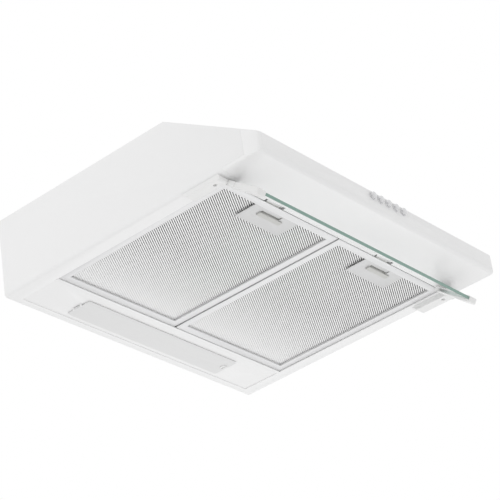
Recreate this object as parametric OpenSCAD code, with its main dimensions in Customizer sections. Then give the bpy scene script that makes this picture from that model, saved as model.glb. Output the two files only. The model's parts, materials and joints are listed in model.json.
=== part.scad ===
// Under cabinet range hood, 60 cm class, with a tilting glass visor.
// The frame is +Z up and +X to the right as seen from the front, with the front at -Y.
// The origin is the middle of the cabinet screw pattern, on the top face.
// Inside the modules a place is given as x, d (distance forward of the rear face) and
// h (height above the bottom edge), which the functions ry and bz turn into Y and Z.

/* [Casing] */
// Overall width
hood_w = 598; // [580:1:620]
// Overall depth, rear face to front strip
hood_d = 535; // [520:1:560]
// Height at the rear
rear_h = 140; // [136:1:160]
// Height of the front strip
front_h = 31; // [30:1:40]
// Depth of the flat part of the top
top_d = 361; // [355:1:375]
// Thickness of the sheet steel
sheet = 1; // [0.8:0.1:1.2]
// Width of the flange along each bottom edge
flange_w = 27; // [20:1:27]
// Outside radius of the bottom side folds
fold_r = 6; // [4:1:8]
// Plan radius of the fascia's front corners
corner_r = 8; // [6:1:26]
// Radius of the bend between the front strip and the underside
bend_r = 9; // [5:1:10]

/* [Cabinet fixing] */
// Distance from the rear face to the middle of the screw pattern
screw_mid_d = 200; // [180:1:210]
// Screw spacing across the width
screw_x = 440; // [400:1:460]
// Screw spacing front to back
screw_y = 240; // [200:1:260]
// Radius of the screw holes
screw_r = 2.75; // [2.2:0.05:3.2]

/* [Grease filters] */
// Distance of each filter's middle from the hood's middle
filter_x = 136.5; // [136:0.5:137]
// Width of a filter
filter_w = 269; // [260:1:269]
// Distance from the rear face to the filters
filter_d = 92; // [92:0.5:94]
// Length of a filter
filter_l = 349; // [345:1:349]
// Thickness of a filter
filter_t = 9; // [8:0.5:10]
// Width of the filter's border
border = 13; // [10:1:15]
// Travel of a latch
latch_travel = 5; // [4:0.5:5]

/* [Visor] */
// Width of the glass
glass_w = 524; // [500:1:526]
// Length of the glass from its hinge
glass_l = 66; // [55:1:68]
// Thickness of the glass
glass_t = 5; // [4:0.5:5]
// Angle of the glass below the horizontal as drawn
visor_tilt = 37; // [0:1:70]

/* [Controls] */
// Radius of a push button
button_r = 5.5; // [5:0.1:5.6]
// Pitch of the push buttons
button_pitch = 19.5; // [18:0.5:22]
// Middle of the row of buttons
button_x = 11; // [-60:1:60]
// How far a button stands out of the strip
button_out = 5; // [4.5:0.5:7]

/* [Air outlet] */
// Outside radius of the duct collar
duct_r = 60; // [59:0.5:62]
// Height of the duct collar above the top
duct_h = 35; // [30:1:45]
// Distance from the rear face to the middle of the duct
duct_d = 85; // [84:1:90]

/* [Hidden] */

$fn = 64;
side = hood_w / 2;                     // outer face of a side panel
flange_x = side - flange_w;            // inner edge of a side flange
rear_flange = 12;                      // depth of the rear flange
slope = atan((rear_h - front_h) / (hood_d - top_d));
joint_d = hood_d - 33;                 // joint between body and fascia
joint_gap = 0.2;
fascia_t = 1.5;                        // wall of the fascia
fascia_rear_d = hood_d - 75;           // rear edge of the fascia's underside
lip_h = fold_r + 0.4;                  // height of the fascia's side lips
bracket_d = [372, 450];                // visor bracket, rear end and front end
bracket_h = 8;                         // how far it hangs below the bottom edge
bracket_w = 20;
bracket_screw_d = 434;
rail_d = [443, fascia_rear_d - 0.5];
rail_h = [sheet, sheet + 1.1];
rest_h = [11.2, 12.2];                 // folds that the filters close against
rest_w = 10;
rest_d = [90, 442.5];
bar_w = 18;
panel_d = [10, 87];                    // light panel
panel_h = [sheet, 2 * sheet];
ridge_d = [84.5, 91.5];
ridge_drop = 0.2;
lens_x = 181;
lens_d = [21, 71];
lens_pin = [-lens_x - 2.2, -1.1];      // x and h of the lens hinge
filter_h = 1.5;                        // underside of a filter
mesh_h = [5, 6.4];
tab_h = [8.6, 9.8];
plate_x = 50;                          // half width of a latch plate
plate_d = [386, filter_d + filter_l - border];
slider_h = [3, 4.8];
tongue_x = -26;                        // middle of the tongue from the filter's middle
tongue_w = 30;
tongue_tip = filter_d + filter_l + 5.5;
bar_x = [-28, 24];
bar_d = [409.5, 418.5];
slit_x = [-27, 13];
slit_d = [411, 421.5];
glass_pin = [447, -5];                 // d and h of the visor hinge
pin_r = 2.5;
arm_top = 4;                           // how far a visor arm stands above the glass's middle
arm_drop = 6.5;                        // how far its front hangs below it
fit = 0.05;                            // radial clearance of a running fit
button_h = 23.5;
button_bore = button_r + 0.08;
stem_r = 2;
shaft_x = -68;
shaft_d = 240;
shaft_r = 4;
scroll_h = [46, 112];
scroll_wall = 2;
scroll_min = 80;
scroll_grow = 38;
scroll_steps = 30;
throat_x = 18;                         // near side of the throat from the shaft
tongue_angle = acos(throat_x / scroll_min);
outlet_y = shaft_d - 150;              // length of the throat from the shaft
box_d = [3, 150];
box_h = [44, rear_h - sheet];
duct_wall = 1.5;
flap_h = rear_h + 12;                  // height of the closed flaps
flap_gap = 0.6;
gland_x = 230;
gland_d = 45;
gland_bore = 4;
cable_sides = 8;
STEEL = "gainsboro";
WHITE = "whitesmoke";
ALUMINIUM = "silver";

function ry(d) = screw_mid_d - d;
function bz(h) = h - rear_h;
function button_at(i) = button_x + (i - 2) * button_pitch;

// A block between limits in x, d and h
module block(x, d, h) {
    translate([x[0], ry(d[1]), bz(h[0])])
        cube([x[1] - x[0], d[1] - d[0], h[1] - h[0]]);
}

// Rods along each axis, between two limits
module rod_x(x, d, h, r) {
    translate([x[0], ry(d), bz(h)]) rotate([0, 90, 0]) cylinder(h = x[1] - x[0], r = r);
}

module rod_y(x, d, h, r) {
    translate([x, ry(d[0]), bz(h)]) rotate([90, 0, 0]) cylinder(h = d[1] - d[0], r = r);
}

module rod_z(x, d, h, r) {
    translate([x, ry(d), bz(h[0])]) cylinder(h = h[1] - h[0], r = r);
}

// Extrudes an outline drawn in d and h across the hood
module across(x) {
    translate([x[1], screw_mid_d, bz(0)]) rotate([0, 0, -90]) rotate([90, 0, 0])
        linear_extrude(x[1] - x[0]) children();
}

// Extrudes an outline drawn in x and h from front to back
module lengthwise(d) {
    translate([0, ry(d[0]), bz(0)]) rotate([90, 0, 0]) linear_extrude(d[1] - d[0]) children();
}

// ---- casing ----

module side_outline(inset) {
    low = inset > 0 ? -1 : 0;
    polygon([
        [inset, low],
        [inset, rear_h - inset],
        [top_d - inset * tan(slope / 2), rear_h - inset],
        [hood_d, front_h - inset / cos(slope)],
        [hood_d, low]
    ]);
}

module end_outline(inset) {
    r = fold_r - inset;
    w = side - inset;
    translate([-w, inset + r]) square([2 * w, rear_h - 2 * inset - r]);
    translate([-w + r, inset]) square([2 * (w - r), r + 1]);
    for (s = [-1, 1]) translate([s * (w - r), inset + r]) circle(r);
}

module cabinet_holes(h, r) {
    for (x = [-1, 1], y = [-1, 1])
        rod_z(x * screw_x / 2, screw_mid_d + y * screw_y / 2, h, r);
}

module body_shell() {
    end_d = joint_d - joint_gap;
    color(WHITE) difference() {
        union() {
            difference() {
                intersection() {
                    lengthwise([0, end_d]) end_outline(0);
                    across([-side, side]) side_outline(0);
                }
                intersection() {
                    lengthwise([sheet, end_d + 1]) end_outline(sheet);
                    across([-side, side]) side_outline(sheet);
                }
                block([-flange_x, flange_x], [rear_flange, end_d + 1], [-1, sheet + 0.5]);
            }
            // The flanges fold up and in, and the filters close against them
            for (s = [-1, 1]) {
                x = [s * flange_x, s * (flange_x + sheet), s * (flange_x - rest_w)];
                block([min(x[0], x[1]), max(x[0], x[1])], rest_d, [0, rest_h[1]]);
                block([min(x[1], x[2]), max(x[1], x[2])], rest_d, rest_h);
            }
        }
        block([-side - 1, side + 1], [fascia_rear_d - 0.2, end_d + 1], [-1, lip_h + 0.2]);
        rod_z(0, duct_d, [rear_h - 3, rear_h + 1], duct_r - duct_wall);
        rod_z(gland_x, gland_d, [rear_h - 3, rear_h + 1], 7);
        cabinet_holes([rear_h - 3, rear_h + 1], screw_r);
        block([-58, 58], [-1, sheet + 1], [66, 120]);
    }
}

module fascia_outline(inset) {
    r = bend_r - inset;
    front = hood_d - inset;
    top = front_h - inset / cos(slope) + inset * tan(slope);
    rear = inset > 0 ? joint_d - 1 : joint_d;
    polygon([
        [rear, inset],
        [front - r, inset],
        [front, inset + r],
        [front, top],
        [rear, top + (front - rear) * tan(slope)]
    ]);
    translate([front - r, inset + r]) circle(r);
}

module fascia_plan(inset) {
    r = corner_r - inset;
    w = side - inset;
    front = ry(hood_d - inset);
    translate([-w, front + r]) square([2 * w, 60]);
    translate([-w + r, front]) square([2 * (w - r), r + 1]);
    for (s = [-1, 1]) translate([s * (w - r), front + r]) circle(r);
}

module fascia_solid(inset) {
    intersection() {
        across([-side, side]) fascia_outline(inset);
        translate([0, 0, bz(-5)]) linear_extrude(rear_h) fascia_plan(inset);
    }
}

module front_fascia() {
    color(WHITE) difference() {
        union() {
            difference() {
                fascia_solid(0);
                fascia_solid(fascia_t);
            }
            block([-side, side], [fascia_rear_d, joint_d + 1], [0, fascia_t]);
            for (s = [-1, 1]) {
                a = s > 0 ? side - fascia_t : -side;
                block([a, a + fascia_t], [fascia_rear_d, joint_d + 2], [0, lip_h]);
            }
        }
        for (i = [0:4]) rod_y(button_at(i), [hood_d - 3, hood_d + 1], button_h, 6.1);
    }
}

// Angle brackets inside the sides hold the fascia to the body
module fascia_brackets() {
    color(STEEL) for (s = [-1, 1]) difference() {
        x = s * (side - fascia_t);
        a = min(x, x - s * 1.5);
        union() {
            block([a, a + 1.5], [joint_d - 30, joint_d + 12], [14, 34]);
            block([min(x, x - s * 16), max(x, x - s * 16)], [joint_d - 30, joint_d - 28.5], [14, 34]);
        }
        for (d = [joint_d - 16, joint_d + 6]) rod_x([a - 1, a + 3], d, 24, 1.6);
    }
}

module fascia_screws() {
    color(ALUMINIUM) for (s = [-1, 1], d = [joint_d - 16, joint_d + 6]) {
        x = s * (side - fascia_t - 1.5);
        rod_x([min(x, x - s * 2.4), max(x, x - s * 2.4)], d, 24, 3);
        rod_x([min(x, x + s * 1.5), max(x, x + s * 1.5)], d, 24, 1.5);
    }
}

// Channel ahead of the filters, notched for the latch tongues, with a bar between the filters
module front_rail() {
    color(WHITE) difference() {
        union() {
            block([-side + fold_r, side - fold_r], rail_d, rail_h);
            block([-side + fold_r, side - fold_r], [rail_d[0], rail_d[0] + 1.2], [rail_h[0], 22]);
            block([-bar_w / 2, bar_w / 2], [83, rail_d[0] + 1], rest_h);
        }
        for (s = [-1, 1]) {
            x = s * filter_x + tongue_x;
            block([x - 22.5, x + 22.5], [rail_d[0] - 1, rail_d[0] + 5.5], [0, 8]);
        }
    }
}

// ---- lighting ----

module rounded_plate(x, d, h, r) {
    block([x[0] + r, x[1] - r], d, h);
    block(x, [d[0] + r, d[1] - r], h);
    for (px = [x[0] + r, x[1] - r], pd = [d[0] + r, d[1] - r]) rod_z(px, pd, h, r);
}

module light_panel() {
    color(WHITE) difference() {
        union() {
            block([-side + fold_r, side - fold_r], panel_d, panel_h);
            block([-flange_x + 0.6, flange_x - 0.6], ridge_d, [-ridge_drop, panel_h[1]]);
            block([-flange_x + 0.6, flange_x - 0.6], [85.8, 87], [panel_h[0], tab_h[0] - 0.4]);
            for (d = [[36, 39.7], [52.3, 56]]) {
                rod_y(lens_pin[0], d, lens_pin[1], 1.8);
                block([lens_pin[0] - 1.8, lens_pin[0] + 1.2], d, [lens_pin[1], panel_h[1]]);
            }
        }
        block([-lens_x + 2.5, lens_x - 2.5], [lens_d[0] + 1.5, lens_d[1] - 1.5], [0, 3]);
        rod_y(lens_pin[0], [35, 57], lens_pin[1], 0.85);
    }
}

// White reflector tray over the lamps
module lamp_tray() {
    color(WHITE) difference() {
        block([-192, 192], [14, 83], [panel_h[1], 42]);
        block([-190.8, 190.8], [15.2, 81.8], [panel_h[1] - 1, 40.8]);
    }
}

module lamp_lens() {
    color("lightgray") difference() {
        union() {
            rounded_plate([-lens_x, lens_x], lens_d, [-1, 0.7], 4);
            difference() {
                rounded_plate([-lens_x + 3.5, lens_x - 3.5], [lens_d[0] + 2.5, lens_d[1] - 2.5], [0.6, 4.5], 3);
                rounded_plate([-lens_x + 5, lens_x - 5], [lens_d[0] + 4, lens_d[1] - 4], [0.5, 5], 2);
            }
            rod_y(lens_pin[0], [40, 52], lens_pin[1], 1.8);
            block([lens_pin[0], -lens_x + 1], [40, 52], [-1, 0.7]);
        }
        rod_y(lens_pin[0], [39, 53], lens_pin[1], 0.85);
        rod_z(lens_x - 8, 47, [-2, 2], 3.1);
        block([lens_x - 6, lens_x - 2], [43.5, 50.5], [0.7, 5]);
    }
}

// Slotted snap catch in the right-hand end of the lens
module lens_catch() {
    x = lens_x - 8;
    color(WHITE) difference() {
        union() {
            rod_z(x, 47, [-2.4, -1], 6);
            rod_z(x, 47, [-1.5, 3], 3);
            block([x - 3, lens_x], [44, 50], [2.4, 4]);
        }
        block([x - 1.2, x + 1.2], [42, 52], [-3, -0.9]);
    }
}

module lens_hinge_pin() {
    color(ALUMINIUM) rod_y(lens_pin[0], [36, 56], lens_pin[1], 0.85 - fit);
}

module lamp_holder(s) {
    color("ivory") difference() {
        union() {
            rod_x([min(s * 152, s * 180), max(s * 152, s * 180)], 48, 24, 13);
            block([min(s * 172, s * 178), max(s * 172, s * 178)], [38, 58], [24, 40.8]);
        }
        rod_x([min(s * 151, s * 172), max(s * 151, s * 172)], 48, 24, 8.2);
    }
}

module lamp(s) {
    color("white") {
        rod_x([min(s * 75, s * 148), max(s * 75, s * 148)], 48, 24, 12);
        translate([s * 75, ry(48), bz(24)]) sphere(12);
        rod_x([min(s * 148, s * 170), max(s * 148, s * 170)], 48, 24, 7);
    }
}

// ---- grease filters ----

module filter_frame(s) {
    x = [s * filter_x - filter_w / 2, s * filter_x + filter_w / 2];
    d = [filter_d, filter_d + filter_l];
    top = filter_h + filter_t;
    t = s * filter_x + tongue_x;
    color(ALUMINIUM) difference() {
        union() {
            block(x, d, [filter_h, top]);
            for (o = [-90, 90]) {
                m = s * filter_x + o;
                block([m - 10, m + 10], [filter_d - 6.5, filter_d + 1], tab_h);
            }
        }
        block([x[0] + border, x[1] - border], [d[0] + border, d[1] - border], [0, top + 1]);
        block([x[0] + 9, x[1] - 9], [d[0] + 9, d[1] - 9], [mesh_h[0] - 0.1, mesh_h[1] + 0.1]);
        block([t - tongue_w / 2 - 0.4, t + tongue_w / 2 + 0.4],
            [d[1] - border - 1, d[1] + 1], [slider_h[0] - 0.4, slider_h[1] + 0.4]);
    }
}

module filter_mesh(s) {
    x = [s * filter_x - filter_w / 2 + 9.3, s * filter_x + filter_w / 2 - 9.3];
    color("darkgray") block(x, [filter_d + 9.3, filter_d + filter_l - 9.3], mesh_h);
}

module latch_plate(s) {
    c = s * filter_x;
    color("lightgray") difference() {
        block([c - plate_x, c + plate_x], plate_d, [filter_h, filter_h + 1.2]);
        block([c + slit_x[0], c + slit_x[1]], slit_d, [0, 5]);
        block([c + slit_x[1] - 0.5, c + slit_x[1] + 2.5], [slit_d[1] - 2.5, 427], [0, 5]);
    }
}

// Slider behind the plate: tongue to the front, finger bar through the slit
module latch_slider(s) {
    c = s * filter_x;
    t = c + tongue_x;
    r = (filter_h - 0.3 + 0.8) / 2;
    color("linen") {
        difference() {
            block([t - tongue_w / 2, c + 32], [400, 426], slider_h);
            block([c + slit_x[0], c + slit_x[1] + 3], [bar_d[1], slit_d[1] + 2], [2, 6]);
        }
        block([t - tongue_w / 2, t + tongue_w / 2], [425, tongue_tip], slider_h);
        block([c - 24, c + 11], [bar_d[1] - 2.4, bar_d[1]], [0.5, slider_h[0] + 0.5]);
        block([c + bar_x[0], c + bar_x[1]], [bar_d[0] + r, bar_d[1] - r], [-0.8, filter_h - 0.3]);
        for (d = [bar_d[0] + r, bar_d[1] - r])
            rod_x([c + bar_x[0], c + bar_x[1]], d, (filter_h - 0.3 - 0.8) / 2, r);
    }
}

// Bowed leaf that pushes the slider forward
module latch_spring(s) {
    c = s * filter_x;
    color(ALUMINIUM) translate([c, ry(399.8), bz(slider_h[0] + 0.3)]) linear_extrude(1.2)
        polygon([[-24, 10.2], [-20, 10.2], [0, 0.6], [20, 10.2], [24, 10.2],
            [24, 10.8], [19.8, 10.8], [0, 1.3], [-19.8, 10.8], [-24, 10.8]]);
}

// Spring-steel leaf on the rail that the tongue rests on and snaps past
module catch_leaf(s) {
    t = s * filter_x + tongue_x;
    color(ALUMINIUM) block([t - 18, t + 18], [rail_d[0] + 1.6, rail_d[1] - 2], [rail_h[1], rail_h[1] + 0.6]);
}

// ---- visor ----

// Places something drawn along -Y from the hinge at the visor's tilt
module at_visor() {
    translate([0, ry(glass_pin[0]), bz(glass_pin[1])]) rotate([visor_tilt, 0, 0]) children();
}

module visor_glass() {
    color("lightcyan", 0.5) at_visor()
        translate([-glass_w / 2, -glass_l, -glass_t / 2]) cube([glass_w, glass_l - 4, glass_t]);
}

// Side arm of a clamp, drawn in the plane across the hinge, deeper towards the front
module arm_outline() {
    tip = -glass_l - 1.5;
    polygon([[0, -arm_top], [0, arm_top], [tip + 3, arm_top], [tip, arm_top - 1.5],
        [tip, 1.5 - arm_drop], [tip + 1.5, -arm_drop], [tip + 20, -arm_drop], [tip + 45, -arm_top]]);
}

// A clamp grips one end of the glass near the hinge, and its arm covers that end to the front
module visor_clamp(s) {
    end = side - bracket_w - 0.6;
    grip = glass_w / 2 - 9;
    arm = [min(s * (glass_w / 2 - 3), s * (end - 1.4)), max(s * (glass_w / 2 - 3), s * (end - 1.4))];
    x = [min(s * grip, s * end), max(s * grip, s * end)];
    pin = [min(s * (end - 1), s * (end + 13)), max(s * (end - 1), s * (end + 13))];
    color(WHITE) difference() {
        union() {
            at_visor() translate([x[0], -18, -glass_t / 2 - 1.5]) cube([x[1] - x[0], 18, glass_t + 3]);
            at_visor() translate([arm[0], 0, 0]) rotate([90, 0, 90])
                linear_extrude(arm[1] - arm[0]) arm_outline();
            rod_x(x, glass_pin[0], glass_pin[1], glass_t / 2 + 1.5);
            rod_x(pin, glass_pin[0], glass_pin[1], pin_r);
        }
        at_visor() translate([-glass_w / 2, -glass_l, -glass_t / 2])
            cube([glass_w, glass_l - 4, glass_t]);
    }
}

module visor_bracket(s) {
    x = [min(s * (side - bracket_w), s * (side - 0.5)), max(s * (side - bracket_w), s * (side - 0.5))];
    hole_x = s * (side - 11);
    color(WHITE) difference() {
        union() {
            across(x) polygon([[bracket_d[0] + 5, 0], [bracket_d[0] + 13, -bracket_h],
                [glass_pin[0], -bracket_h], [glass_pin[0], 0]]);
            rod_x(x, glass_pin[0], glass_pin[1], 5);
            block(x, [glass_pin[0] - 5, glass_pin[0] + 2.5], [-4, 0]);
        }
        rod_x([s > 0 ? x[0] - 1 : x[0] + 5, s > 0 ? x[1] - 5 : x[1] + 1],
            glass_pin[0], glass_pin[1], pin_r + fit);
        rod_z(hole_x, bracket_screw_d, [-bracket_h - 1, -3], 3.2);
        rod_z(hole_x, bracket_screw_d, [-4, 1], 1.6);
    }
}

module bracket_screws() {
    color(ALUMINIUM) for (s = [-1, 1]) {
        rod_z(s * (side - 11), bracket_screw_d, [-4.4, -3], 2.9);
        rod_z(s * (side - 11), bracket_screw_d, [-3.2, 0], 1.5);
    }
}

// ---- controls ----

module button(i) {
    color("silver") {
        rod_y(button_at(i), [hood_d - 13, hood_d + button_out - 0.8], button_h, button_r);
        rod_y(button_at(i), [hood_d + button_out - 1, hood_d + button_out], button_h, button_r - 0.8);
        rod_y(button_at(i), [hood_d - 28, hood_d - 12], button_h, stem_r);
    }
}

module button_bezels() {
    color("silver") for (i = [0:4]) difference() {
        union() {
            rod_y(button_at(i), [hood_d - 7, hood_d + 0.5], button_h, 6.05);
            rod_y(button_at(i), [hood_d, hood_d + 1.2], button_h, 6.9);
        }
        rod_y(button_at(i), [hood_d - 8, hood_d + 2], button_h, button_bore);
    }
}

module switch_block() {
    x = [button_at(0) - 15, button_at(4) + 15];
    color("dimgray") difference() {
        block(x, [hood_d - 48, hood_d - 18], [12, 35]);
        for (i = [0:4]) rod_y(button_at(i), [hood_d - 33, hood_d - 17], button_h, stem_r + fit);
    }
}

module switch_bracket() {
    x = [button_at(0) - 24, button_at(4) + 24];
    color(STEEL) difference() {
        union() {
            block(x, [hood_d - 50, hood_d - 18], [10.5, 12]);
            for (e = [x[0], x[1] - 1.5]) block([e, e + 1.5], [hood_d - 50, hood_d - 1.5], [10.5, 30]);
        }
        for (e = x) rod_x([e - 3, e + 3], hood_d - 35, 24, 5);
    }
}

// ---- blower ----

// Spiral casing outline with its throat running to the rear
module scroll_outline(inset) {
    x = throat_x + inset;
    far = inset > 0 ? outlet_y + 1 : outlet_y;
    spiral = [for (i = [1:scroll_steps])
        let (a = tongue_angle + i * (360 - tongue_angle) / scroll_steps,
            r = scroll_min - inset + scroll_grow * i / scroll_steps)
        [r * cos(a), r * sin(a)]];
    polygon(concat(spiral, [
        [spiral[scroll_steps - 1][0], far],
        [x, far],
        [x, sqrt(pow(scroll_min - inset, 2) - x * x)]
    ]));
}

module at_shaft(h) {
    translate([shaft_x, ry(shaft_d), bz(h)]) children();
}

module blower_scroll() {
    color("darkgray") difference() {
        union() {
            at_shaft(scroll_h[0]) linear_extrude(scroll_h[1] - scroll_h[0]) scroll_outline(0);
            // Posts up to the top of the casing
            for (p = [[-86, 0], [0, -98], [104, 40]])
                at_shaft(scroll_h[1] - 1) translate(p)
                    cylinder(h = rear_h - sheet - scroll_h[1] + 1, r = 5);
        }
        at_shaft(scroll_h[0] - 1) linear_extrude(scroll_h[1] - scroll_h[0] - 1)
            scroll_outline(scroll_wall);
        rod_z(shaft_x, shaft_d, [100, 120], 50);
        for (a = [0:120:240])
            at_shaft(100) rotate([0, 0, a]) translate([55, 0, 0]) cylinder(h = 20, r = 2.2);
    }
}

// Bottom plate with the inlet's rolled mouth
module blower_inlet() {
    color("darkgray") {
        difference() {
            at_shaft(scroll_h[0] - 2) linear_extrude(2) scroll_outline(0);
            rod_z(shaft_x, shaft_d, [scroll_h[0] - 3, scroll_h[0] + 1], 57);
        }
        at_shaft(scroll_h[0] - 2) rotate_extrude() translate([57, 0]) difference() {
            circle(3);
            translate([-4, 0]) square([8, 4]);
        }
    }
}

module blower_screws() {
    color(ALUMINIUM) for (a = [0:120:240]) at_shaft(0) rotate([0, 0, a]) translate([55, 0, 0]) {
        translate([0, 0, scroll_h[1] - 4]) cylinder(h = 8, r = 2);
        translate([0, 0, scroll_h[1] + 3]) cylinder(h = 3, r = 4);
    }
}

module motor() {
    color("gray") difference() {
        union() {
            rod_z(shaft_x, shaft_d, [72, 128], 45);
            rod_z(shaft_x, shaft_d, [70, 130], 14);
            rod_z(shaft_x, shaft_d, [scroll_h[1], scroll_h[1] + 3], 60);
        }
        rod_z(shaft_x, shaft_d, [69, 131], shaft_r + fit);
        for (a = [0:120:240])
            at_shaft(100) rotate([0, 0, a]) translate([55, 0, 0]) cylinder(h = 20, r = 2.2);
    }
}

module motor_shaft() {
    color(ALUMINIUM) rod_z(shaft_x, shaft_d, [58, 132], shaft_r);
}

// Forward-curved wheel with a recessed hub that the motor sits in
module impeller() {
    blades = 36;
    color("slategray") {
        difference() {
            union() {
                at_shaft(0) rotate_extrude() polygon([[0, 62], [54, 62], [54, 104], [75, 104],
                    [75, 106], [51.5, 106], [51.5, 64.5], [10, 64.5], [10, 68], [0, 68]]);
                at_shaft(0) rotate_extrude() translate([69, 49]) square([6, 3]);
            }
            rod_z(shaft_x, shaft_d, [60, 70], shaft_r);
        }
        for (i = [0:blades - 1]) at_shaft(49) rotate([0, 0, i * 360 / blades])
            linear_extrude(56) polygon([[61, 0], [68, 1.4], [74.5, 5.4], [74.1, 6.2],
                [67.6, 2.4], [61, 1]]);
    }
}

module capacitor() {
    color("beige") {
        rod_y(100, [215, 265], 112, 14);
        block([92, 108], [225, 255], [112, rear_h - sheet]);
    }
}

// ---- supply ----

module terminal_box() {
    color("white") difference() {
        block([200, 262], [20, 76], [96, 130]);
        block([202, 260], [22, 74], [90, 128]);
        rod_z(gland_x, gland_d, [120, 135], 6.2);
        rod_y(gland_x + 16, [70, 80], 114, 4.2);
    }
}

module terminal_cover() {
    color("white") block([200, 262], [20, 76], [93.6, 95.6]);
}

module cable_gland() {
    color("black") difference() {
        union() {
            rod_z(gland_x, gland_d, [126, rear_h + 1.6], 6);
            rod_z(gland_x, gland_d, [rear_h, rear_h + 2], 10);
            rod_z(gland_x, gland_d, [rear_h - sheet - 4, rear_h - sheet], 9);
        }
        rod_z(gland_x, gland_d, [120, rear_h + 3], gland_bore);
    }
}

// One pass of corner cutting rounds a route's bends
function rounded(p) = concat([p[0]],
    [for (i = [0:len(p) - 2]) each [0.75 * p[i] + 0.25 * p[i + 1], 0.25 * p[i] + 0.75 * p[i + 1]]],
    [p[len(p) - 1]]);

// Ring of points round a route at one of its points
function cable_ring(route, i, r) =
    let (n = len(route),
        along = route[min(i + 1, n - 1)] - route[max(i - 1, 0)],
        t = along / norm(along),
        a = cross(t, [0.36, 0.48, 0.8]) / norm(cross(t, [0.36, 0.48, 0.8])),
        b = cross(t, a))
    [for (k = [0:cable_sides - 1])
        route[i] + r * (cos(k * 360 / cable_sides) * a + sin(k * 360 / cable_sides) * b)];

// A cable clipped to the casing along its whole route
module cable_run(points, r) {
    route = rounded(rounded(points));
    n = len(route);
    m = cable_sides;
    polyhedron(
        points = [for (i = [0:n - 1]) each cable_ring(route, i, r)],
        faces = concat(
            [[for (k = [0:m - 1]) k]],
            [for (i = [0:n - 2], k = [0:m - 1])
                let (j = i * m, l = (k + 1) % m)
                each [[j + k, j + m + k, j + m + l], [j + k, j + m + l, j + l]]],
            [[for (k = [m - 1:-1:0]) (n - 1) * m + k]]
        )
    );
}

function place(x, d, h) = [x, ry(d), bz(h)];

module control_cable() {
    color("gray") cable_run([place(246, 76, 114), place(246, 100, 114), place(290, 130, 114),
        place(290, 360, 114), place(290, 470, 50), place(200, 497, 30),
        place(90, 500, 24), place(button_at(4) + 15, 500, 24)], 3.5);
}

module motor_cable() {
    color("gray") cable_run([place(100, 265.1, 112), place(100, 285, 112), place(100, 296, 124),
        place(10, 296, 124), place(shaft_x + 75, 240, 124), place(shaft_x + 45.1, 240, 124)], 2.5);
}

module lamp_cable() {
    color("gray") cable_run([place(210, 60, 93.5), place(210, 60, 60), place(210, 60, 24),
        place(210, 48, 24), place(192.1, 48, 24)], 2.5);
}

// ---- outlet ----

module outlet_box() {
    t = 1.5;
    color(STEEL) difference() {
        block([-68, 68], box_d, box_h);
        block([-68 + t, 68 - t], [box_d[0] + t, box_d[1] - t], [box_h[0] + t, box_h[1] + 1]);
        block([-50 + scroll_wall, 50 - scroll_wall], [box_d[1] - t - 1, box_d[1] + 1],
            [scroll_h[0], scroll_h[1] - scroll_wall]);
        block([-56, 56], [box_d[0] - 1, box_d[0] + t + 1], [68, 118]);
    }
}

module duct_collar() {
    color("gray") difference() {
        union() {
            rod_z(0, duct_d, [rear_h, rear_h + duct_h], duct_r);
            rod_z(0, duct_d, [rear_h, rear_h + 1.5], duct_r + 12);
            // Bosses for the flap rod
            for (s = [-1, 1]) rod_x([min(s * 52, s * 59), max(s * 52, s * 59)], duct_d, flap_h, 4);
        }
        difference() {
            rod_z(0, duct_d, [rear_h - 1, rear_h + duct_h + 1], duct_r - duct_wall);
            for (s = [-1, 1]) rod_x([min(s * 54.6, s * 59), max(s * 54.6, s * 59)], duct_d, flap_h, 4);
            // Ledge that the flaps close on
            difference() {
                rod_z(0, duct_d, [flap_h - 3, flap_h - 1], duct_r);
                rod_z(0, duct_d, [flap_h - 4, flap_h], duct_r - duct_wall - 2);
            }
        }
        rod_x([-57.5, 57.5], duct_d, flap_h, 1.5);
        for (a = [0:120:240]) translate([0, ry(duct_d), bz(rear_h - 1)]) rotate([0, 0, a + 30])
            translate([duct_r + 6, 0, 0]) cylinder(h = 5, r = 1.6);
    }
}

module collar_screws() {
    color(ALUMINIUM) for (a = [0:120:240])
        translate([0, ry(duct_d), bz(rear_h)]) rotate([0, 0, a + 30]) translate([duct_r + 6, 0, 0]) {
            cylinder(h = 2, r = 1.5);
            translate([0, 0, 1.5]) cylinder(h = 2, r = 3);
        }
}

// Half-round flap with its knuckles; s is the side of the rod it lies on
module flap(s) {
    r = duct_r - duct_wall - 0.9;
    knuckles = s > 0 ? [-41, 15] : [-15, 41];
    color("dimgray") difference() {
        union() {
            intersection() {
                rod_z(0, duct_d, [flap_h - 0.5, flap_h + 0.5], r);
                translate([-r, s > 0 ? ry(duct_d) + 3.4 : ry(duct_d) - r, bz(flap_h - 1)])
                    cube([2 * r, r - 3.4, 2]);
            }
            for (x = knuckles) {
                rod_x([x - 11, x + 11], duct_d, flap_h, 2.8);
                translate([x - 11, s > 0 ? ry(duct_d) : ry(duct_d) - 6, bz(flap_h - 0.5)])
                    cube([22, 6, 1]);
            }
        }
        rod_x([-60, 60], duct_d, flap_h, 1.5 + fit);
        // Corner reliefs beside the rod's bosses
        for (e = [-1, 1]) translate([e * 58 - 5, ry(duct_d) - 6, bz(flap_h - 2)]) cube([10, 12, 4]);
    }
}

module flap_rod() {
    color(ALUMINIUM) rod_x([-57.4, 57.4], duct_d, flap_h, 1.5);
}

// Blanking plate over the unused rear outlet
module rear_cover() {
    color(STEEL) difference() {
        block([-66, 66], [sheet, sheet + 1], [58, 128]);
        for (s = [-1, 1]) rod_y(s * 62, [0, 3], 93, 1.6);
    }
}

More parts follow.
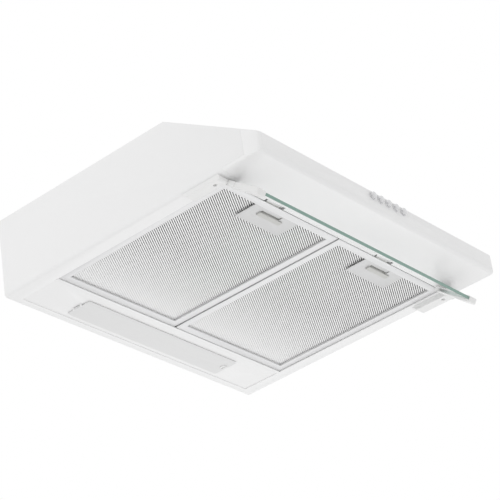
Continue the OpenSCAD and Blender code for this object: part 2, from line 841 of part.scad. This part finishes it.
body_shell();
front_fascia();
fascia_brackets();
fascia_screws();
front_rail();
light_panel();
lamp_tray();
lamp_lens();
lens_catch();
lens_hinge_pin();
lamp_holder(-1);  // lamp_holder_left
lamp_holder(1);  // lamp_holder_right
lamp(-1);  // lamp_left
lamp(1);  // lamp_right
filter_frame(-1);  // filter_frame_left
filter_frame(1);  // filter_frame_right
filter_mesh(-1);  // filter_mesh_left
filter_mesh(1);  // filter_mesh_right
latch_plate(-1);  // latch_plate_left
latch_plate(1);  // latch_plate_right
latch_slider(-1);  // latch_slider_left
latch_slider(1);  // latch_slider_right
latch_spring(-1);  // latch_spring_left
latch_spring(1);  // latch_spring_right
catch_leaf(-1);  // catch_leaf_left
catch_leaf(1);  // catch_leaf_right
visor_glass();
visor_clamp(-1);  // visor_clamp_left
visor_clamp(1);  // visor_clamp_right
visor_bracket(-1);  // visor_bracket_left
visor_bracket(1);  // visor_bracket_right
bracket_screws();
button(0);  // button_off
button(1);  // button_speed_1
button(2);  // button_speed_2
button(3);  // button_speed_3
button(4);  // button_lamp
button_bezels();
switch_block();
switch_bracket();
blower_scroll();
blower_inlet();
blower_screws();
motor();
motor_shaft();
impeller();
capacitor();
terminal_box();
terminal_cover();
cable_gland();
control_cable();
motor_cable();
lamp_cable();
outlet_box();
duct_collar();
collar_screws();
flap(-1);  // flap_front
flap(1);  // flap_rear
flap_rod();
rear_cover();
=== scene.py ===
# Under cabinet range hood, 60 cm class, with a tilting glass visor.
# Metres, +Z up, the front of the hood at -Y, and the origin in the middle of the cabinet screws.
import json
import math

import bpy
from mathutils import Matrix, Vector


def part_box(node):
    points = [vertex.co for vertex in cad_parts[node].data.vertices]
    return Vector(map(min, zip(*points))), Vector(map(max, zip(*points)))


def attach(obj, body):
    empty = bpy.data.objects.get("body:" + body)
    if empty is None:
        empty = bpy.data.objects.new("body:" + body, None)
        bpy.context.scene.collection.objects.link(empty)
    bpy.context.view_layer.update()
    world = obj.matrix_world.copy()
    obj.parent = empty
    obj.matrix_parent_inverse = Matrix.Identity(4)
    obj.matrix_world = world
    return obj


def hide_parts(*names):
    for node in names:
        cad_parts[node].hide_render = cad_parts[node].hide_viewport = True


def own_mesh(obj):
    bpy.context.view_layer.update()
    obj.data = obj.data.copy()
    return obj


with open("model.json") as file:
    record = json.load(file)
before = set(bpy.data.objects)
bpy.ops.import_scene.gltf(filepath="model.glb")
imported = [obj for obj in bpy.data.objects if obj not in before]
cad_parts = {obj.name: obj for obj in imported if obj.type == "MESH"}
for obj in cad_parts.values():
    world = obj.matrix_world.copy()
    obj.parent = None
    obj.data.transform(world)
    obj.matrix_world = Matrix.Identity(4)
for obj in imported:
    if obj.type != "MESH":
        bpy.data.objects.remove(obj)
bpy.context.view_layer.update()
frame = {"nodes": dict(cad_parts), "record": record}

# ---- studio ----
# The hood hangs at a cabinet's height in a white room, over a pale floor. The camera looks up at it
# from below and the front left.

studio = bpy.context.scene
studio.view_settings.view_transform = "Standard"
studio.view_settings.look = "None"

bpy.ops.object.select_all(action="DESELECT")
bpy.ops.object.camera_add()
camera = bpy.context.object
camera.name = "camera"
camera.data.sensor_width = 36
camera.data.lens = 149.96
camera.data.clip_end = 60
azimuth = math.radians(-53.706)
elevation = math.radians(-29.913)
lean = math.radians(-8.689)
aim = Vector((0.0006, -0.067, -0.0743))
distance = 3.3823
back = Vector((
    math.sin(azimuth) * math.cos(elevation),
    -math.cos(azimuth) * math.cos(elevation),
    math.sin(elevation),
))
level_right = (-back).cross(Vector((0, 0, 1))).normalized()
level_up = level_right.cross(-back)
right = level_right * math.cos(lean) + level_up * math.sin(lean)
up = level_up * math.cos(lean) - level_right * math.sin(lean)
turned = Matrix((right, up, back)).transposed().to_4x4()
camera.matrix_world = Matrix.Translation(aim + back * distance) @ turned
studio.camera = camera

room = bpy.data.worlds.new("white_room")
room.use_nodes = True
walls = room.node_tree
toward = walls.nodes.new("ShaderNodeTexCoord")
parts = walls.nodes.new("ShaderNodeSeparateXYZ")
shade = walls.nodes.new("ShaderNodeMapRange")
shade.inputs["From Min"].default_value = -1.0
shade.inputs["From Max"].default_value = 0.3
shade.inputs["To Min"].default_value = 0.8
shade.inputs["To Max"].default_value = 1.0
walls.links.new(toward.outputs["Generated"], parts.inputs[0])
walls.links.new(parts.outputs["Y"], shade.inputs["Value"])
walls.links.new(shade.outputs[0], walls.nodes["Background"].inputs["Strength"])
walls.nodes["Background"].inputs["Color"].default_value = (1, 1, 1, 1)
studio.world = room

bpy.ops.mesh.primitive_plane_add(size=20, location=(0, 0, -3.3))
floor = bpy.context.object
floor.name = "floor"
pale_floor = bpy.data.materials.new("pale_floor")
pale_floor.use_nodes = True
paint = pale_floor.node_tree.nodes["Principled BSDF"]
paint.inputs["Base Color"].default_value = (0.9, 0.9, 0.9, 1)
paint.inputs["Roughness"].default_value = 0.9
floor.data.materials.append(pale_floor)


def softbox(name, place, aim, size, power):
    bpy.ops.object.light_add(type="AREA", location=place)
    lamp = bpy.context.object
    lamp.name = name
    lamp.data.size = size
    lamp.data.energy = power
    lamp.rotation_euler = (Vector(aim) - Vector(place)).to_track_quat("-Z", "Y").to_euler()


softbox("softbox_left", place=(-2.4, 0.9, -0.5), aim=(0, 0, -0.07), size=1.6, power=2)
softbox("softbox_low", place=(1.3, 0.6, -1.7), aim=(0.1, 0, -0.14), size=1.6, power=5)

# ---- casing ----
# The body is one sheet of 1 mm steel, folded with small bends and a flange round the open bottom,
# then powder coated white. The coat is thin at the bends and has a very fine orange peel.


class Level:
    """A number that varies over a surface. A sum or a product with it adds a Math node."""

    def __init__(self, tree, socket):
        self.tree = tree
        self.socket = socket

    def sum_node(self, operation, first, second):
        node = self.tree.nodes.new("ShaderNodeMath")
        node.operation = operation
        for place, value in enumerate((first, second)):
            if isinstance(value, Level):
                self.tree.links.new(value.socket, node.inputs[place])
            else:
                node.inputs[place].default_value = value
        return Level(self.tree, node.outputs[0])

    def __add__(self, other):
        return self.sum_node("ADD", self, other)

    def __radd__(self, other):
        return self.sum_node("ADD", other, self)

    def __mul__(self, other):
        return self.sum_node("MULTIPLY", self, other)

    def __rmul__(self, other):
        return self.sum_node("MULTIPLY", other, self)


class Finish:
    """A material under construction, with its Principled shader."""

    def __init__(self, name, colour, roughness, metal=0.0):
        self.material = bpy.data.materials.new(name)
        self.material.use_nodes = True
        self.tree = self.material.node_tree
        self.shader = self.tree.nodes["Principled BSDF"]
        self.colour = colour
        self.shader.inputs["Base Color"].default_value = (*colour, 1)
        self.shader.inputs["Roughness"].default_value = roughness
        self.shader.inputs["Metallic"].default_value = metal

    def node(self, kind, settings, sockets):
        """Adds a node. Settings come first; a socket takes a value, a Level or a link."""
        made = self.tree.nodes.new(kind)
        for name, value in settings.items():
            if name == "stops":
                ramp = made.color_ramp.elements
                while len(ramp) < len(value):
                    ramp.new(0.5)
                for stop, (place, shade) in zip(ramp, value):
                    stop.position = place
                    stop.color = (*shade, 1)
            else:
                setattr(made, name, value)
        for name, value in sockets.items():
            socket = made.inputs[name]
            if isinstance(value, Level):
                value = value.socket
            if isinstance(value, bpy.types.NodeSocket):
                self.tree.links.new(value, socket)
            else:
                socket.default_value = value
        return made

    def level(self, node, output):
        return Level(self.tree, node.outputs[output])

    def place(self):
        return self.node("ShaderNodeTexCoord", {}, {}).outputs["Object"]

    def stretched(self, scale):
        """Object coordinates scaled by a different amount along each axis."""
        return self.node(
            "ShaderNodeMapping", {}, {"Vector": self.place(), "Scale": scale}
        ).outputs["Vector"]

    def noise(self, scale, detail=2.0, stretch=(1, 1, 1)):
        cloud = self.node(
            "ShaderNodeTexNoise",
            {},
            {"Vector": self.stretched(stretch), "Scale": scale, "Detail": detail},
        )
        return self.level(cloud, 0)

    def mottle(self, amount, scale, darker):
        """Lets the colour drift towards a darker one over the surface."""
        patches = self.noise(scale, 3) * amount
        factor, first_colour, second_colour, mixed_colour = 0, 6, 7, 2
        mix = self.node(
            "ShaderNodeMix",
            {"data_type": "RGBA"},
            {factor: patches, first_colour: (*self.colour, 1), second_colour: (*darker, 1)},
        )
        self.tree.links.new(mix.outputs[mixed_colour], self.shader.inputs["Base Color"])

    def wear(self, level):
        self.tree.links.new(level.socket, self.shader.inputs["Roughness"])

    def relief(self, height, depth):
        bump = self.node("ShaderNodeBump", {}, {"Height": height, "Distance": depth, "Strength": 1.0})
        self.tree.links.new(bump.outputs["Normal"], self.shader.inputs["Normal"])


def coat(piece, finish):
    piece.data.materials.clear()
    piece.data.materials.append(finish.material)


def body_holding(node):
    return next(name for name, nodes in frame["record"]["behaviour"]["bodies"].items() if node in nodes)


def worked_copy(node, name):
    """A copy of a modelled part with its loose triangles joined up, ready to be worked on."""
    bpy.ops.object.select_all(action="DESELECT")
    part = frame["nodes"][node]
    part.select_set(True)
    bpy.context.view_layer.objects.active = part
    bpy.ops.object.duplicate()
    piece = bpy.context.object
    piece.parent = None
    for key in list(piece.keys()):
        del piece[key]
    piece.name = name
    piece.data.name = name
    bpy.ops.object.mode_set(mode="EDIT")
    bpy.ops.mesh.select_all(action="SELECT")
    bpy.ops.mesh.remove_doubles(threshold=1e-6)
    bpy.ops.mesh.dissolve_limited(angle_limit=math.radians(0.4))
    bpy.ops.object.mode_set(mode="OBJECT")
    return piece


def soften(piece, width, segments=2, angle=30):
    """Rounds every edge sharper than the angle, as a press brake or a mould leaves it."""
    rounding = piece.modifiers.new("edge_rounding", "BEVEL")
    rounding.width = width
    rounding.segments = segments
    rounding.limit_method = "ANGLE"
    rounding.angle_limit = math.radians(angle)
    rounding.harden_normals = False
    rounding.use_clamp_overlap = True
    bpy.ops.object.select_all(action="DESELECT")
    piece.select_set(True)
    bpy.context.view_layer.objects.active = piece
    bpy.ops.object.modifier_apply(modifier=rounding.name)
    bpy.ops.object.shade_smooth_by_angle(angle=math.radians(32))


def fit_piece(piece, node, finish):
    """Puts a finished piece in place of the modelled part, on the same body."""
    coat(piece, finish)
    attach(piece, body_holding(node))
    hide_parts(node)


def eased(node, name, width, finish, segments=2):
    piece = worked_copy(node, name)
    soften(piece, width, segments)
    fit_piece(piece, node, finish)
    return piece


white_enamel = Finish("white_enamel", (0.88, 0.88, 0.88), 0.32)
white_enamel.mottle(0.25, 9, (0.85, 0.85, 0.855))
white_enamel.wear(white_enamel.noise(60, 3) * 0.08 + 0.28)
white_enamel.relief(white_enamel.noise(900, 2), 0.00002)
white_enamel.shader.inputs["Coat Weight"].default_value = 0.25
white_enamel.shader.inputs["Coat Roughness"].default_value = 0.12

casing = eased("body_shell", "casing", 0.0007, white_enamel)

# ---- fascia ----
# The front strip is a separate sheet with rounded ends and a soft bend under it, pushed over the
# body's front edge. Two angle brackets inside hold it, each with two pan-head screws.

fascia = eased("front_fascia", "fascia", 0.0006, white_enamel)

galvanised = Finish("galvanised_steel", (0.62, 0.63, 0.64), 0.42, 1.0)
galvanised.mottle(0.8, 45, (0.5, 0.51, 0.53))
galvanised.wear(galvanised.noise(70, 4) * 0.3 + 0.25)
galvanised.relief(galvanised.noise(300, 2), 0.00003)

eased("fascia_brackets", "fascia_angles", 0.0003, galvanised)

bright_steel = Finish("bright_steel", (0.64, 0.64, 0.65), 0.3, 1.0)
bright_steel.mottle(0.5, 200, (0.5, 0.5, 0.5))
bright_steel.wear(bright_steel.noise(500, 2, (1, 1, 0.1)) * 0.25 + 0.2)
bright_steel.relief(bright_steel.noise(2500, 1, (1, 1, 0.2)), 0.00001)

eased("fascia_screws", "fascia_pan_heads", 0.0004, bright_steel)

# ---- front rail and light panel ----
# The rail ahead of the filters and the panel behind them are folded white sheets. The panel ends
# in a rolled ridge, carries the lens's hinge lugs, and has the lamps' reflector tray on top.

eased("front_rail", "filter_rail", 0.0004, white_enamel)
eased("light_panel", "lamp_panel", 0.0006, white_enamel, 3)
eased("lamp_tray", "reflector_tray", 0.0008, white_enamel)

# ---- grease filters ----
# Each filter is a frame of folded aluminium with mitred corners round a pack of expanded
# aluminium layers. The inner ones lie close together, with painted shade that darkens them toward the
# front.

filter_aluminium = Finish("filter_aluminium", (0.74, 0.74, 0.745), 0.42, 0.5)
filter_aluminium.mottle(0.4, 60, (0.68, 0.685, 0.69))
filter_aluminium.wear(filter_aluminium.noise(1400, 2, (1, 0.03, 1)) * 0.25 + 0.3)
filter_aluminium.relief(filter_aluminium.noise(1800, 2, (1, 0.03, 1)), 0.00001)

expanded_aluminium = Finish("expanded_aluminium", (0.95, 0.95, 0.95), 0.4, 0.2)
expanded_aluminium.mottle(0.4, 30, (0.9, 0.9, 0.9))
expanded_aluminium.wear(expanded_aluminium.noise(800, 2) * 0.2 + 0.28)
expanded_aluminium.relief(expanded_aluminium.noise(2600, 1), 0.00002)

inner_layers = Finish("inner_layers", (0.5, 0.5, 0.5), 0.6, 0.3)
# Painted shade: the base colour ramps from near black at the front to pale grey at the rear, along Y.
axes = inner_layers.node("ShaderNodeSeparateXYZ", {}, {"Vector": inner_layers.place()})
toward_rear = inner_layers.level(axes, "Y") * 3.0 + 0.7
painted_front_shade = inner_layers.node(
    "ShaderNodeValToRGB",
    {"stops": [(0.0, (0.01, 0.01, 0.01)), (0.5, (0.13, 0.13, 0.13)), (1.0, (0.92, 0.92, 0.92))]},
    {"Fac": toward_rear},
)
inner_layers.tree.links.new(painted_front_shade.outputs["Color"], inner_layers.shader.inputs["Base Color"])
inner_layers.wear(inner_layers.noise(700, 3) * 0.3 + 0.45)
inner_layers.relief(inner_layers.noise(900, 2), 0.0004)

diamond = (0.0069, 0.00395)
broad_strand = 0.5
fine_strand = 0.1
sheet_gauge = 0.0003
inset_from_pack = 0.0002


def expanded_layer(node, name):
    """Cuts one diamond, repeats it in both directions, and trims the layer to its frame.

    The sheet is slit and drawn out, so the strands are broad one way and fine the other.
    """
    low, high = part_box(node)
    across = math.ceil((high.x - low.x) / diamond[0]) + 2
    along = math.ceil((high.y - low.y) / diamond[1]) + 2
    cell = math.sqrt(0.5)
    bpy.ops.object.select_all(action="DESELECT")
    bpy.ops.mesh.primitive_plane_add(size=cell, location=(low.x, low.y, low.z + inset_from_pack))
    layer = bpy.context.object
    layer.name = name
    bpy.ops.object.mode_set(mode="EDIT")
    bpy.ops.mesh.inset(thickness=cell * fine_strand / 2, depth=0)
    bpy.ops.transform.resize(value=(1, (1 - broad_strand) / (1 - fine_strand), 1))
    bpy.ops.mesh.delete(type="FACE")
    bpy.ops.mesh.select_all(action="SELECT")
    bpy.ops.object.mode_set(mode="OBJECT")
    layer.rotation_euler.z = math.radians(45)
    bpy.ops.object.transform_apply(location=False, rotation=True, scale=False)
    bpy.ops.object.mode_set(mode="EDIT")
    bpy.ops.transform.resize(value=(diamond[0], diamond[1], 1))
    bpy.ops.mesh.duplicate()
    bpy.ops.transform.translate(value=(diamond[0] / 2, diamond[1] / 2, 0))
    bpy.ops.object.mode_set(mode="OBJECT")
    for count, step in ((across, (diamond[0], 0, 0)), (along, (0, diamond[1], 0))):
        row = layer.modifiers.new("row", "ARRAY")
        row.count = count
        row.use_relative_offset = False
        row.use_constant_offset = True
        row.constant_offset_displace = step
        bpy.ops.object.modifier_apply(modifier=row.name)
    bpy.ops.object.mode_set(mode="EDIT")
    bpy.ops.mesh.select_all(action="SELECT")
    bpy.ops.mesh.remove_doubles(threshold=0.00005)
    for corner, way in ((low, (-1, 0, 0)), (low, (0, -1, 0)), (high, (1, 0, 0)), (high, (0, 1, 0))):
        bpy.ops.mesh.select_all(action="SELECT")
        bpy.ops.mesh.bisect(
            plane_co=corner, plane_no=way, clear_outer=True, clear_inner=False, threshold=1e-7
        )
    bpy.ops.mesh.select_all(action="SELECT")
    bpy.ops.mesh.normals_make_consistent(inside=False)
    bpy.ops.object.mode_set(mode="OBJECT")
    wall = layer.modifiers.new("sheet", "SOLIDIFY")
    wall.thickness = sheet_gauge
    wall.offset = 0
    bpy.ops.object.modifier_apply(modifier=wall.name)
    bpy.ops.object.transform_apply(location=True, rotation=True, scale=True)
    return layer


crimps = (48, 64)
crimp_depth = 0.00025
foil_gauge = 0.0002


def backing_layer(node, name):
    """The close inner layers, crimped together, made as one sheet behind the first."""
    low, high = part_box(node)
    middle = (low + high) / 2
    bpy.ops.object.select_all(action="DESELECT")
    bpy.ops.mesh.primitive_grid_add(
        x_subdivisions=crimps[0],
        y_subdivisions=crimps[1],
        size=1,
        location=(middle.x, middle.y, high.z - inset_from_pack),
    )
    sheet = bpy.context.object
    sheet.name = name
    bpy.ops.object.mode_set(mode="EDIT")
    bpy.ops.transform.resize(value=(high.x - low.x, high.y - low.y, 1))
    bpy.ops.mesh.select_all(action="DESELECT")
    bpy.ops.object.mode_set(mode="OBJECT")
    for corner in sheet.data.vertices:
        corner.select = (corner.index // crimps[0] + corner.index) % 2 == 0
    bpy.ops.object.mode_set(mode="EDIT")
    bpy.ops.transform.translate(value=(0, 0, -crimp_depth))
    bpy.ops.object.mode_set(mode="OBJECT")
    wall = sheet.modifiers.new("sheet", "SOLIDIFY")
    wall.thickness = foil_gauge
    bpy.ops.object.modifier_apply(modifier=wall.name)
    bpy.ops.object.transform_apply(location=True, rotation=True, scale=True)
    return sheet


for hand in ("left", "right"):
    eased(
        f"filter_frame_{hand}",
        f"filter_channel_{hand}",
        0.0009,
        filter_aluminium,
        3,
    )
    layer = expanded_layer(f"filter_mesh_{hand}", f"expanded_layer_{hand}")
    fit_piece(layer, f"filter_mesh_{hand}", expanded_aluminium)
    sheet = backing_layer(f"filter_mesh_{hand}", f"inner_layers_{hand}")
    coat(sheet, inner_layers)
    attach(sheet, f"filter_{hand}")

# ---- filter latches ----
# A pressed plate is riveted to the frame. A moulded slider behind it has a tongue to the front and
# a rounded bar in the plate's slit for a finger. A bowed leaf pushes it out; the real leaf flattens
# as the slider goes back, but this one keeps its bowed shape.

latch_plate = Finish("latch_plate", (0.66, 0.66, 0.66), 0.45, 0.3)
latch_plate.mottle(0.4, 90, (0.6, 0.6, 0.605))
latch_plate.wear(latch_plate.noise(900, 2, (0.05, 1, 1)) * 0.2 + 0.35)
latch_plate.relief(latch_plate.noise(1500, 2, (0.05, 1, 1)), 0.00001)

latch_nylon = Finish("latch_nylon", (0.6, 0.6, 0.58), 0.45)
latch_nylon.mottle(0.4, 120, (0.54, 0.54, 0.51))
latch_nylon.wear(latch_nylon.noise(400, 3) * 0.15 + 0.38)
latch_nylon.relief(latch_nylon.noise(1800, 2), 0.00001)

for hand in ("left", "right"):
    eased(f"latch_plate_{hand}", f"latch_cover_{hand}", 0.0003, latch_plate)
    eased(f"latch_slider_{hand}", f"latch_tongue_{hand}", 0.0004, latch_nylon)
    leaf = eased(f"latch_spring_{hand}", f"latch_leaf_{hand}", 0.0001, bright_steel)
    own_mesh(leaf)
    eased(f"catch_leaf_{hand}", f"rail_leaf_{hand}", 0.0001, bright_steel)

# ---- lamps ----
# A long frosted lens hangs from a pin at its left end and is held shut by a slotted snap catch. Two
# pearl candle lamps lie end to end above it in moulded holders.

frosted = Finish("frosted_lens", (0.77, 0.77, 0.77), 0.5)
frosted.mottle(0.3, 25, (0.74, 0.74, 0.74))
frosted.wear(frosted.noise(300, 2) * 0.15 + 0.4)
frosted.relief(frosted.noise(1500, 2), 0.00004)

eased("lamp_lens", "lens_cover", 0.0008, frosted, 4)

white_moulding = Finish("white_moulding", (0.84, 0.84, 0.835), 0.35)
white_moulding.mottle(0.3, 40, (0.8, 0.8, 0.8))
white_moulding.wear(white_moulding.noise(300, 3) * 0.12 + 0.3)
white_moulding.relief(white_moulding.noise(1600, 2), 0.00001)

eased("lens_catch", "lens_turnbuckle", 0.0003, white_moulding)
eased("lens_hinge_pin", "lens_pin", 0.0001, bright_steel)

pearl = Finish("pearl_glass", (0.93, 0.93, 0.92), 0.25)
pearl.mottle(0.2, 60, (0.9, 0.9, 0.88))
pearl.wear(pearl.noise(400, 2) * 0.1 + 0.2)
pearl.relief(pearl.noise(900, 2), 0.00001)

ivory = Finish("ivory_moulding", (0.78, 0.75, 0.66), 0.5)
ivory.mottle(0.4, 80, (0.72, 0.69, 0.6))
ivory.wear(ivory.noise(400, 3) * 0.15 + 0.42)
ivory.relief(ivory.noise(1600, 2), 0.00001)

for hand in ("left", "right"):
    eased(f"lamp_{hand}", f"candle_lamp_{hand}", 0.0006, pearl, 3)
    eased(f"lamp_holder_{hand}", f"lamp_socket_{hand}", 0.0006, ivory)

# ---- visor ----
# The visor is a strip of toughened 5 mm float glass with ground edges, which look green. Moulded
# clamps hold its ends with a little room to spare, and turn on pins in two brackets screwed under
# the body.

visor_glass = Finish("visor_glass", (0.86, 0.9, 0.885), 0.05)
visor_glass.mottle(0.3, 40, (0.83, 0.88, 0.86))
visor_glass.wear(visor_glass.noise(200, 2) * 0.04 + 0.03)
visor_glass.relief(visor_glass.noise(60, 1), 0.000005)
visor_glass.shader.inputs["Alpha"].default_value = 0.05

ground_edge = Finish("ground_glass_edge", (0.27, 0.4, 0.35), 0.35)
ground_edge.mottle(0.7, 160, (0.2, 0.33, 0.28))
ground_edge.wear(ground_edge.noise(900, 2) * 0.2 + 0.25)
ground_edge.relief(ground_edge.noise(2500, 2), 0.00002)

pale_edge = Finish("pale_glass_edge", (0.78, 0.84, 0.82), 0.4)
pale_edge.mottle(0.5, 160, (0.7, 0.78, 0.75))
pale_edge.wear(pale_edge.noise(900, 2) * 0.2 + 0.3)
pale_edge.relief(pale_edge.noise(2500, 2), 0.00002)

clamp_clearance = 0.0001
pane = worked_copy("visor_glass", "visor_pane")
bpy.ops.object.mode_set(mode="EDIT")
bpy.ops.mesh.select_all(action="SELECT")
bpy.ops.transform.shrink_fatten(value=-clamp_clearance)
bpy.ops.object.mode_set(mode="OBJECT")
soften(pane, 0.0004)
fit_piece(pane, "visor_glass", visor_glass)
pane.data.materials.append(ground_edge.material)
pane.data.materials.append(pale_edge.material)
visor_tilt = math.radians(37)
forward = Vector((0, -math.cos(visor_tilt), -math.sin(visor_tilt)))
mostly = 0.5
for face in pane.data.polygons:
    if face.normal.dot(forward) > mostly:
        face.material_index = 1
    elif abs(face.normal.x) > mostly:
        face.material_index = 2

for hand in ("left", "right"):
    eased(f"visor_clamp_{hand}", f"visor_grip_{hand}", 0.0005, white_moulding)
    eased(f"visor_bracket_{hand}", f"visor_hanger_{hand}", 0.0008, white_moulding, 3)
eased("bracket_screws", "hanger_screws", 0.0003, bright_steel)

# ---- controls ----
# Five push buttons, metallised plastic, stand out of chromed rings in the front strip. Behind them
# a black switch block sits on a bracket that is spot welded to the fascia.

button_chrome = Finish("button_chrome", (0.78, 0.78, 0.79), 0.16, 1.0)
button_chrome.mottle(0.3, 300, (0.7, 0.7, 0.71))
button_chrome.wear(button_chrome.noise(700, 2) * 0.1 + 0.12)
button_chrome.relief(button_chrome.noise(2000, 1), 0.000005)

for key in ("off", "speed_1", "speed_2", "speed_3", "lamp"):
    eased(f"button_{key}", f"push_button_{key}", 0.0006, button_chrome, 3)
eased("button_bezels", "button_rings", 0.0003, button_chrome, 3)

black_moulding = Finish("black_moulding", (0.035, 0.035, 0.038), 0.45)
black_moulding.mottle(0.5, 70, (0.06, 0.06, 0.062))
black_moulding.wear(black_moulding.noise(300, 3) * 0.2 + 0.35)
black_moulding.relief(black_moulding.noise(1800, 2), 0.00003)

eased("switch_block", "switch_bank", 0.0006, black_moulding)
eased("switch_bracket", "switch_cradle", 0.0003, galvanised)

# ---- blower ----
# A centrifugal blower hangs from the top: a galvanised scroll on posts, an inlet plate with a
# rolled mouth, and a motor nested in a plastic wheel with forward-curved blades.

for node, name, width in (
    ("blower_scroll", "scroll", 0.0005),
    ("blower_inlet", "inlet_plate", 0.0004),
    ("motor", "motor_can", 0.001),
):
    eased(node, name, width, galvanised)
eased("blower_screws", "blower_bolts", 0.0004, bright_steel)
eased("motor_shaft", "drive_shaft", 0.0004, bright_steel)
coat(frame["nodes"]["impeller"], black_moulding)
eased("capacitor", "run_capacitor", 0.0006, ivory)

# ---- supply ----
# The supply comes through a rubber gland in the top into a white terminal box. Grey sheathed cables
# run from it to the switches, the motor and the lamps, clipped down all the way.

box_moulding = Finish("box_moulding", (0.82, 0.82, 0.81), 0.5)
box_moulding.mottle(0.3, 50, (0.78, 0.78, 0.77))
box_moulding.wear(box_moulding.noise(300, 3) * 0.15 + 0.42)
box_moulding.relief(box_moulding.noise(1500, 2), 0.00002)

eased("terminal_box", "junction_box", 0.0006, box_moulding)
eased("terminal_cover", "junction_lid", 0.0005, box_moulding)

gland_rubber = Finish("gland_rubber", (0.03, 0.03, 0.03), 0.7)
gland_rubber.mottle(0.6, 90, (0.06, 0.06, 0.058))
gland_rubber.wear(gland_rubber.noise(400, 3) * 0.2 + 0.6)
gland_rubber.relief(gland_rubber.noise(1200, 2), 0.00004)

eased("cable_gland", "entry_gland", 0.0005, gland_rubber)

grey_sheath = Finish("grey_sheath", (0.42, 0.42, 0.42), 0.55)
grey_sheath.mottle(0.4, 120, (0.36, 0.36, 0.36))
grey_sheath.wear(grey_sheath.noise(500, 2) * 0.15 + 0.48)
grey_sheath.relief(grey_sheath.noise(900, 2), 0.00004)

for cable in ("control_cable", "motor_cable", "lamp_cable"):
    coat(frame["nodes"][cable], grey_sheath)

# ---- outlet ----
# The air leaves through a galvanised box and a black collar on top, with two half-round flaps on one
# rod. The unused outlet in the rear is shut by a screwed plate.

eased("outlet_box", "air_box", 0.0005, galvanised)
eased("duct_collar", "round_collar", 0.0006, black_moulding, 3)
eased("collar_screws", "collar_pan_heads", 0.0004, bright_steel)
eased("flap_front", "draught_flap_front", 0.0002, black_moulding)
eased("flap_rear", "draught_flap_rear", 0.0002, black_moulding)
eased("flap_rod", "flap_axle", 0.0002, bright_steel)
eased("rear_cover", "blanking_plate", 0.0003, galvanised)
